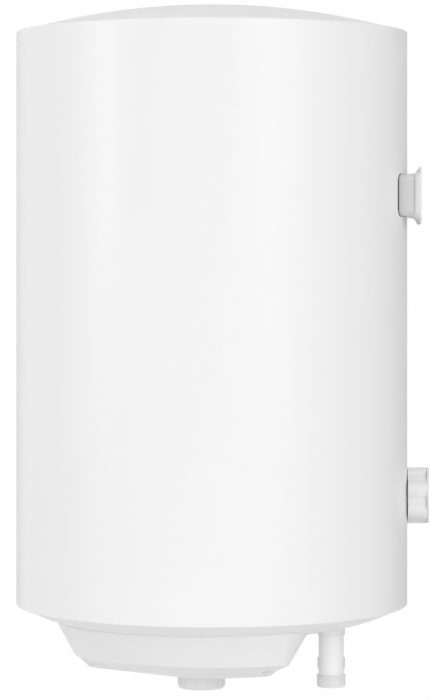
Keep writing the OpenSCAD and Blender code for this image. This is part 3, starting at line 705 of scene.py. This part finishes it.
def makeKnob():
    c = knob
    top, face = -c["top"], -c["face"]
    profile = rounded([
        (c["bore"], top, 0.3), (c["bore"], top - c["socket"], 0.3),
        (0.01, top - c["socket"])], closed=False)[::-1]
    profile += rounded([
        (c["hub"], top, 0.3), (c["hub"], face + 2.0, 0.8), (c["r"] - c["wall"], face + 2.6, 0.8),
        (c["r"] - c["wall"], top, 0.4), (c["r"], top, 0.5), (c["r"], face + c["edge"], 1.2),
        (c["r"] - c["edgeIn"], face, 1.2), (c["r"] - 3.4, face, 0.6), (c["r"] - 4.2, face + 0.5, 0.6),
        (0.01, face + 0.5)], closed=False, steps=4)

    def fluted(r, h, a):
        if r < c["r"] - c["wall"] + 0.3:
            return r
        turn = a / (2 * math.pi) * c["grooves"] - c["firstGroove"]
        off = abs(turn - round(turn)) * 2 * math.pi / c["grooves"] * c["r"]
        depth = c["grooveDepth"] * max(0.0, 1 - (off / c["grooveR"]) ** 2)
        return r - depth * min(1, max(0, (h - face) / c["edge"]))

    angles = []
    for i in range(c["grooves"]):
        middle = (i + c["firstGroove"]) / c["grooves"] * 2 * math.pi
        angles += [middle + t / c["r"] for t in (-1, -0.8, -0.6, -0.35, 0, 0.35, 0.6, 0.8, 1)]
        gap = 2 * math.pi / c["grooves"] - 2 / c["r"]
        angles += [middle + 1 / c["r"] + gap * k / 10 for k in range(1, 10)]
    angles = sorted(a % (2 * math.pi) for a in angles)
    place = upright(0, knobW)
    obj = lathe("temperatureKnob", profile, place, angles=angles, closed=False, shape=fluted, sharp=32)
    half, near, far = c["markHalf"], -c["markFrom"], -c["markTo"]
    mark = rounded([(half, near, 0.6), (half, far, 0.9), (-half, far, 0.9), (-half, near, 0.6)])
    both = join("temperatureKnob", [obj, prism("pointer", mark, place, face + 0.1, face + 0.8)])
    dress(both, "knob_plastic", "temperature_dial", "temperature_knob")


makeKnob()
print("knob done")

# pipes with their threads, seals and push-on protectors

pipe = dict(r=10.65, bore=8, end=63.4, thread=8.8, crest=10.48, root=9.4, pitch=1.814, segments=72)
protector = dict(r=12.35, body=11.85, low=64.8, height=10.8, floor=1.4, bore=10.66, ribs=5, pitch=1.62,
                 slope=1.0, firstRib=1.9, lip=1.4)
seal = dict(outer=11.65, inner=10.7, low=21, high=1)


def makePipe(name, side, topZ, node):
    c = pipe
    top = (topZ - rimLow) / mm
    rows = int(c["thread"] / c["pitch"] * 12)
    start = -c["end"]
    profile = [(c["bore"], start + 0.5), (c["bore"] + 0.4, start)]
    profile += [(c["crest"], start + c["thread"] * k / rows) for k in range(rows + 1)]
    profile += [(c["r"], start + c["thread"] + h) for h in (0.4, 0.8, 1.6, 3.2)]
    profile += rounded([(c["r"], top - 2, 0), (c["r"], top, 0.4), (c["bore"], top, 0.4)], closed=False)

    def threaded(r, h, a):
        if r != c["crest"]:
            return r
        phase = ((h - start) / c["pitch"] - a / (2 * math.pi)) % 1
        ridge = min(1.0, max(0.0, 1.5 - abs(phase - 0.5) * 4 + 0.2))
        fade = min(1, (h - start) / 1.2)
        runOut = min(1, max(0.0, (start + c["thread"] - h) / 1.0))
        depth = (c["crest"] - c["root"]) * (1 - ridge)
        return c["crest"] - max(depth * runOut, (1 - fade) * (c["crest"] - c["root"]))

    obj = lathe(name, profile, upright(side * pipeX, pipeW), c["segments"], shape=threaded, sharp=50)
    dress(obj, "pipe_enamel", "heater", node)


def makeProtector(name, side, body, node):
    c = protector
    low, top = -c["low"], -c["low"] + c["height"]
    wall = [(0.01, low + 0.25), (5.5, low + 0.25, 0.3), (6, low, 0.3), (c["body"] - 0.2, low, 0.9),
            (c["body"], low + 1.0, 0.5)]
    for i in range(c["ribs"]):
        h = low + c["firstRib"] + c["pitch"] * i
        if h + 0.5 > top - c["lip"] - 0.3:
            break
        wall += [(c["body"], h - 0.42, 0.15), (c["r"] - 0.08, h - 0.2, 0.15), (c["r"] - 0.08, h + 0.2, 0.15),
                 (c["body"], h + 0.42, 0.15)]
    wall += [(c["body"], top - c["lip"] - 0.35, 0.2), (c["r"], top - c["lip"] - 0.2, 0.2),
             (c["r"], top - c["slope"], 0.25), (c["bore"] + 0.25, top, 0.15), (c["bore"], top, 0.02),
             (c["bore"], low + c["floor"], 0.5), (0.01, low + c["floor"])]
    obj = lathe(name, rounded(wall, closed=False, steps=3), upright(side * pipeX, pipeW), 96, closed=False,
                sharp=50)
    dress(obj, "protector_plastic", body, node)


def makeSeals():
    c = seal
    parts = []
    for side in (-1, 1):
        profile = rounded([(c["inner"], -c["low"], 0.3), (c["outer"] - 0.2, -c["low"], 0.8),
                           (c["outer"], -c["low"] + 1.5, 0.4), (c["outer"], -c["high"], 0.3),
                           (c["inner"], -c["high"], 0.3)])
        parts.append(lathe("seal%d" % side, profile, upright(side * pipeX, pipeW), 72))
    dress(join("pipeSeals", parts), "seal_grey", "heater", "pipe_grommets")


makePipe("coldPipe", 1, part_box("cold_pipe")[1].z, "cold_pipe")
makePipe("hotPipe", -1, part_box("hot_pipe")[1].z, "hot_pipe")
makeProtector("coldProtector", 1, "cold_cap", "cold_protector")
makeProtector("hotProtector", -1, "hot_cap", "hot_protector")
makeSeals()
print("pipes done")

# hanger: a pressed plate on a box-shaped neck, with a flared edge

hanger = dict(sealIn=160, sealOut=169.4, sealSlip=0.15, saddleR=147.25, plateW=181, inX=47, inZ=15,
              inCorner=3, neckX=50, neckZ=18, neckCorner=6, neckMid=160, webDepth=3,
              slotPitch=60, slotL=20, slotR=5, slotIn=170, slotOut=190,
              # along the wall's direction from the plate, half width, half height, corner
              sections=((-12, 50, 18, 6), (-8, 50, 18.3, 6), (-5.9, 50, 18.7, 6), (-5.5, 51.6, 18.75, 6),
                        (-4.8, 52.2, 19.0, 6.2), (-3.5, 52.9, 19.6, 6.5), (-2.4, 53.4, 21, 7),
                        (-1.5, 53.7, 22.8, 7.5), (-0.9, 53.9, 24.1, 8), (-0.6, 54, 24.5, 8),
                        (-0.12, 54, 24.45, 8), (0, 53.8, 24.2, 7.8)))


def makeHanger():
    c = hanger
    place = towardsWall(hangerZ)

    def ring(halfX, halfZ, corner, w=None):
        out = []
        for x, z in rectangle(halfX, halfZ, corner, 6):
            depth = w if w is not None else math.sqrt(c["saddleR"] ** 2 - x ** 2)
            out.append(place @ Vector((x, z, depth)))
        return out

    rings = [ring(c["inX"], c["inZ"], c["inCorner"], c["plateW"] - c["webDepth"]),
             ring(c["inX"], c["inZ"], c["inCorner"]), ring(c["neckX"], c["neckZ"], c["neckCorner"]),
             ring(c["neckX"], c["neckZ"], c["neckCorner"], c["neckMid"])]
    rings += [ring(x, z, corner, c["plateW"] + y) for y, x, z, corner in c["sections"]]
    obj = makeObject("hangerBracket", *skin(rings, capFirst=True, capLast=True), 28)
    half = c["slotL"] / 2 - c["slotR"]
    tools = []
    for side in (-1, 1):
        turns = [2 * math.pi * (k + 0.5) / 48 for k in range(48)]
        middle = side * c["slotPitch"] / 2
        outline = [(middle + (half if math.cos(a) > 0 else -half) + c["slotR"] * math.cos(a),
                    c["slotR"] * math.sin(a)) for a in turns]
        tools.append(prism("slot%d" % side, outline, place, c["slotIn"], c["slotOut"]))
    carve(obj, tools, sharp=28)
    dress(obj, "hanger_enamel", "heater", "hanger_bracket")


# painted shade: a black strip round the neck, a little below the sheet, that stands in for the shadow inside
# the opening
def makeGapShadeStrip():
    c, d = hanger, casing
    inner = rectangle(c["neckX"] + c["sealSlip"], c["neckZ"] + c["sealSlip"], c["neckCorner"])
    outer = rectangle(d["hangerGapX"] / 2 + 1, d["hangerGapZ"] / 2 + 1, d["gapCorner"])
    place = towardsWall(hangerZ)
    rings = []
    for outline, r in ((inner, c["sealIn"]), (inner, c["sealOut"]),
                       (outer, c["sealOut"]), (outer, c["sealIn"])):
        rings.append([place @ Vector((x, z, math.sqrt(r ** 2 - x ** 2))) for x, z in outline])
    dress(makeObject("hangerGapShade", *skin(rings, closedRows=True)), "gasket_rubber", "heater")


makeHanger()
# painted shade on the hanger's neck: a darker grey than the plate
paintNeckShade(paint["hanger_enamel"], grey(0.66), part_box("hanger_bracket")[1].y - 0.0057)
# a dark strip paints the shadow inside the hanger opening
makeGapShadeStrip()
print("hanger done")

# wall spacer: lobed knob on a threaded stem, with a pad that meets the wall

spacer = dict(edge=0.35, r=24.6, core=21.6, lobe=9, lobes=6, firstLobe=0.333, inner=170.15, outer=186.5,
              stemR=8, stemRoot=7.1, stemPitch=4, stemIn=147.5, stemOut=179.3, padR=23.9, padIn=186.58,
              padOut=190, pivotR=5, pivotIn=180.3, pivotSlip=0.06, stemSlip=0.05, floorGap=0.8)


def lobedRadius(a, shrink=0.0):
    c = spacer
    step = 2 * math.pi / c["lobes"]
    turn = (a / step - c["firstLobe"]) % 1
    off = min(turn, 1 - turn) * step
    reach = c["r"] - c["lobe"]
    under = (c["lobe"] - shrink) ** 2 - (reach * math.sin(off)) ** 2
    lobe = reach * math.cos(off) + math.sqrt(under) if under > 0 else 0
    return max(lobe, c["core"] - shrink)


def makeSpacer():
    c = spacer
    place = towardsWall(spacerZ)
    angles = circleAngles(216)
    soft = [(c["edge"] * (1 - math.sin(t)), c["edge"] * (1 - math.cos(t)))
            for t in (math.pi / 2 * k / 6 for k in range(7))]
    shrinks = [(q, c["inner"] + h) for q, h in soft] + [(q, c["outer"] - h) for q, h in soft[::-1]]
    pivotR, stemR = c["pivotR"] + c["pivotSlip"], c["stemR"] + c["stemSlip"]
    seat = c["pivotIn"] - c["floorGap"]
    bore = ((pivotR, seat), (stemR, seat), (stemR, c["inner"]))
    rings = [ringAt(place, circle(r, angles), h) for r, h in bore]
    for shrink, h in shrinks:
        radii = [lobedRadius(-a, shrink) for a in angles]
        rings.append(ringAt(place, [(r * math.cos(a), r * math.sin(a)) for r, a in zip(radii, angles)], h))
    rings.append(ringAt(place, circle(pivotR, angles), c["outer"]))
    knobObj = makeObject("spacerKnob", *skin(rings, closedRows=True), 14)
    dress(knobObj, "spacer_plastic", "spacer_screw", "spacer_knob")

    rowCount = int((c["inner"] - 1 - c["stemIn"]) / c["stemPitch"] * 16)
    profile = [(0.01, c["stemIn"]), (c["stemRoot"] - 0.8, c["stemIn"] + 0.001)]
    profile += [(c["stemR"], c["stemIn"] + 0.6 + (c["inner"] - 1 - c["stemIn"]) * k / rowCount)
                for k in range(rowCount + 1)]
    profile += [(c["stemR"] - 0.001, c["stemOut"]), (0.01, c["stemOut"])]

    def threaded(r, h, a):
        if r != c["stemR"]:
            return r
        phase = ((h - c["stemIn"]) / c["stemPitch"] - a / (2 * math.pi)) % 1
        ridge = min(1.0, max(0.0, 1.6 - abs(phase - 0.5) * 4))
        return c["stemR"] - (c["stemR"] - c["stemRoot"]) * (1 - ridge)

    dress(lathe("spacerStem", profile, place, 64, closed=False, shape=threaded, sharp=50),
          "spacer_plastic", "spacer_screw", "spacer_stem")
    profile = rounded([(0.01, c["pivotIn"]), (c["pivotR"], c["pivotIn"], 0.5), (c["pivotR"], c["padIn"], 0.2),
                       (c["padR"], c["padIn"], 0.12), (c["padR"], c["padOut"], 0.6),
                       (c["padR"] - 4, c["padOut"], 0.4),
                       (c["padR"] - 4.6, c["padOut"] - 0.5, 0.4), (0.01, c["padOut"] - 0.5)], closed=False)
    dress(lathe("spacerPad", profile, place, 128, closed=False), "spacer_plastic", "wall_pad", "spacer_pad")


makeSpacer()
print("spacer done")

# small pieces on the underside

small = dict(headR=4.2, headTop=32.6, headSeat=30, shankR=2, shankRoot=1.55, shankTop=4, screwPitch=1.4,
             rows=130, barHalf=2.3, barThick=0.45, barDeep=1.4, barTurn=20, entryR=4.5, entryFlange=9.5,
             bushR=6.3, bushLip=8.5, lampR=4, lampFlange=5.5, lampDeep=14)


def makeScrews():
    c = small
    parts = []
    for i, (x, w) in enumerate(screwPlaces):
        profile = rounded([(0.01, -c["headTop"]), (c["headR"] * 0.6, -c["headTop"], 1.5),
                           (c["headR"], -c["headTop"] + 1.3, 0.8), (c["headR"], -c["headSeat"], 0.2),
                           (c["shankR"] - 0.001, -c["headSeat"])], closed=False)
        rows = c["rows"]
        profile += [(c["shankR"], -c["headSeat"] + 0.4 + (c["headSeat"] - c["shankTop"] - 2.4) * k / rows)
                    for k in range(rows + 1)] + [(0.05, -c["shankTop"])]

        def threaded(r, h, a):
            if r != c["shankR"]:
                return r
            phase = (h / c["screwPitch"] - a / (2 * math.pi)) % 1
            return c["shankRoot"] + (c["shankR"] - c["shankRoot"]) * max(0, 1 - abs(phase - 0.5) * 5)

        screw = lathe("screw%d" % i, profile, upright(x, w), 32, closed=False, shape=threaded, sharp=50)
        bars, long, thick = [], c["barHalf"], c["barThick"]
        for k in range(2):
            turn = math.radians(90 * k + c["barTurn"] * i)
            bar = [(x + px * math.cos(turn) - pw * math.sin(turn),
                    w + px * math.sin(turn) + pw * math.cos(turn))
                   for px, pw in ((-long, -thick), (long, -thick), (long, thick), (-long, thick))]
            bars.append(prism("bar%d%d" % (i, k), bar, upright(), -c["headTop"] - 1,
                              -c["headTop"] + c["barDeep"]))
        carve(screw, bars, sharp=50)
        parts.append(screw)
    dress(join("coverScrews", parts), "zinc_steel", "heater", "cover_screws")


def makeEntry():
    c, d = small, cover["depth"]
    profile = rounded([(c["entryR"], -d - 1.2, 0.5), (c["entryFlange"] - 0.3, -d - 1.2, 0.8),
                       (c["entryFlange"], -d, 0.2), (c["bushR"], -d, 0.1), (c["bushR"], -d + 2.5, 0.1),
                       (c["bushLip"], -d + 2.5, 0.2), (c["bushLip"] - 0.3, -d + 4, 0.5),
                       (c["entryR"], -d + 4, 0.4)])
    obj = lathe("cableGrommet", profile, upright(*entryPlace), 64)
    dress(obj, "gasket_rubber", "heater", "cable_grommet")


def makeLamp():
    c, d = small, cover["depth"]
    profile = rounded([(0.01, -d - 1.0), (c["lampR"] - 0.6, -d - 0.95, 1.5), (c["lampR"], -d - 0.4, 0.3),
                       (c["lampFlange"] - 0.3, -d - 0.4, 0.2), (c["lampFlange"], -d, 0.1),
                       (c["lampR"], -d, 0.1),
                       (c["lampR"], -d + c["lampDeep"], 0.4), (0.01, -d + c["lampDeep"])], closed=False)
    obj = lathe("indicatorLamp", profile, upright(*lampPlace), 48, closed=False)
    dress(obj, "lamp_lens", "heater", "indicator_lamp")


makeScrews()
makeEntry()
makeLamp()
print("small pieces done")

# the nodes that keep their CAD shape

carried = {
    "foam": ["foam_insulation"],
    "tank_enamel": ["tank_shell", "tank_top_head", "tank_bottom_head", "hanger_saddle"],
    "bare_steel": ["flange_neck", "flange_plate"],
    "zinc_steel": ["flange_studs", "flange_nuts", "anode_nut", "thermostat_spindle"],
    "gasket_rubber": ["flange_gasket"],
    "element_copper": ["heating_element", "thermostat_pocket", "thermostat_probe"],
    "terminal_ceramic": ["element_terminals"],
    "lead_insulation": ["element_leads"],
    "anode_magnesium": ["anode_rod"],
    "earth_brass": ["earth_screw"],
    "thermostat_plastic": ["thermostat_body"],
    "button_red": ["reset_button"],
    "diffuser_plastic": ["cold_diffuser"],
    "spacer_plastic": ["spacer_socket"],
}
for finish, names in carried.items():
    for name in names:
        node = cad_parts[name]
        if not node.material_slots:
            node.data.materials.append(None)
        for holder in node.material_slots:
            holder.material = paint[finish]
print("carried nodes dressed")

# floor, light and camera

studio = dict(floorZ=-0.95, floorR=3.0, floorTone=0.86, fade=(0.25, 1.2), allRound=0.61, screenTop=1.6)
# azimuth from +X towards the wall, distance, height, aim height, width and height of the box, power,
# and whether it shows in reflections
lampList = (("keyBox", -61, 2.2, 0.6, -0.1, 0.8, 1.8, 8.5, True),
            ("leftBox", -88, 2.4, 1.0, 0.0, 1.4, 1.4, 6.5, False),
            ("rightBox", 34, 2.4, 0.55, -0.1, 1.25, 1.9, 8.0, True),
            ("rightSoft", 44, 2.4, 0.6, -0.1, 1.25, 1.6, 11.0, False),
            ("underBox", 0, 0.8, -0.93, -0.36, 1.4, 0.6, 2.2, False),
            ("topBox", 0, 1.2, 2.2, -0.1, 1.6, 1.6, 6.0, False))
# grey screens, hidden from the camera, that keep white reflections off the two upright edges: x, y, grey
screens = (((-2.2, 0.9), (1.4, 1.4), 0.6), ((-2.2, -2.2), (-1.9, 1.4), 0.8))
view = dict(distance=2.4516, side=0.104, height=-0.0507, lens=144.62, shiftX=0.0039, shiftY=-0.1364)


# 1 for rays of the camera, reflections and glass, 0 for soft light
def seenRays(tree):
    path = addNode(tree, "LightPath").outputs
    seen = combine(tree, "MAXIMUM", path["Is Camera Ray"], path["Is Glossy Ray"])
    return combine(tree, "MAXIMUM", seen, path["Is Transmission Ray"])


def makeWorld():
    world = bpy.data.worlds.new("studio")
    bpy.context.scene.world = world
    world.use_nodes = True
    tree = world.node_tree
    plain = tree.nodes["Background"]
    feed(tree, plain, [("Color", (1, 1, 1, 1)), ("Strength", studio["allRound"])])
    white = addNode(tree, "Background", [("Color", (1, 1, 1, 1)), ("Strength", 1.0)])
    mixed = mixShaders(tree, seenRays(tree), plain.outputs[0], white.outputs[0])
    tree.links.new(mixed, tree.nodes["World Output"].inputs["Surface"])


# plain paper near the object that fades to white further out, and clear from below
def makeFloor():
    r, z = studio["floorR"], studio["floorZ"]
    rings = [[Vector((x, y, z)) for x, y in circle(q, circleAngles(64), 0, axisY)]
             for q in (0.02, r * 0.3, r * 0.6, r)]
    floor = makeObject("floor", *skin(rings, capFirst=True))
    if floor.data.polygons[0].normal.z < 0:
        floor.data.flip_normals()
    mat, tree, shader = newMaterial("floorPaper")
    feed(tree, shader, [("Base Color", (*grey(studio["floorTone"]), 1)), ("Roughness", 0.9)])
    white = addNode(tree, "Emission", [("Color", (1, 1, 1, 1)), ("Strength", 1.0)])
    here = addNode(tree, "TexCoord").outputs["Object"]
    away = addNode(tree, "VectorMath", [(0, here), (1, (0, axisY, z))], operation="DISTANCE")
    fade = ramp(tree, away.outputs["Value"], *studio["fade"], interpolation_type="SMOOTHSTEP")
    amount = combine(tree, "MULTIPLY", seenRays(tree), fade)
    paper = mixShaders(tree, amount, shader.outputs[0], white.outputs[0])
    below = addNode(tree, "NewGeometry").outputs["Backfacing"]
    clear = addNode(tree, "BsdfTransparent").outputs[0]
    tree.links.new(mixShaders(tree, below, paper, clear), tree.nodes["Material Output"].inputs["Surface"])
    floor.data.materials.append(mat)


def makeScreen(index, alongX, alongY, tone):
    low, high = studio["floorZ"] + 0.01, studio["screenTop"]
    (x0, x1), (y0, y1) = alongX, alongY
    corners = [(x0, y0, low), (x1, y1, low), (x1, y1, high), (x0, y0, high)]
    obj = makeObject("screen%d" % index, corners, [(0, 1, 2, 3)])
    mat, tree, shader = newMaterial("screenCloth%d" % index)
    feed(tree, shader, [("Base Color", (*grey(tone), 1)), ("Roughness", 1.0)])
    obj.data.materials.append(mat)
    obj.visible_camera = False


def aimAlong(obj, direction):
    obj.rotation_mode = "QUATERNION"
    obj.rotation_quaternion = direction.to_track_quat("-Z", "Y")


# a soft box that points at target
def makeSoftBox(name, place, target, size, power, mirrored):
    light = bpy.data.lights.new(name, "AREA")
    light.shape = "RECTANGLE"
    light.size, light.size_y = size
    light.energy = power
    obj = newObject(name, light)
    obj.location = place
    obj.visible_camera, obj.visible_glossy = False, mirrored
    aimAlong(obj, Vector(target) - Vector(place))


# a place round the tank's axis; angle 0 is +X, positive towards the wall
def around(angle, distance, height):
    a = math.radians(angle)
    return Vector((distance * math.cos(a), axisY + distance * math.sin(a), height))


makeWorld()
makeFloor()
for i, screen in enumerate(screens):
    makeScreen(i, *screen)
for name, azimuth, distance, height, aim, wide, tall, power, mirrored in lampList:
    makeSoftBox(name, around(azimuth, distance, height), (0, axisY, aim), (wide, tall), power, mirrored)

cam = bpy.data.cameras.new("camera")
cam.lens, cam.shift_x, cam.shift_y = view["lens"], view["shiftX"], view["shiftY"]
cam.dof.use_dof = False
camera = newObject("camera", cam)
out = math.sqrt(view["distance"] ** 2 - view["side"] ** 2)
camera.location = (out, axisY + view["side"], view["height"])
aimAlong(camera, Vector((-out, -view["side"], 0)))
bpy.context.scene.camera = camera
bpy.context.scene.view_settings.view_transform = "Standard"
print("studio ready")

bpy.context.view_layer.update()
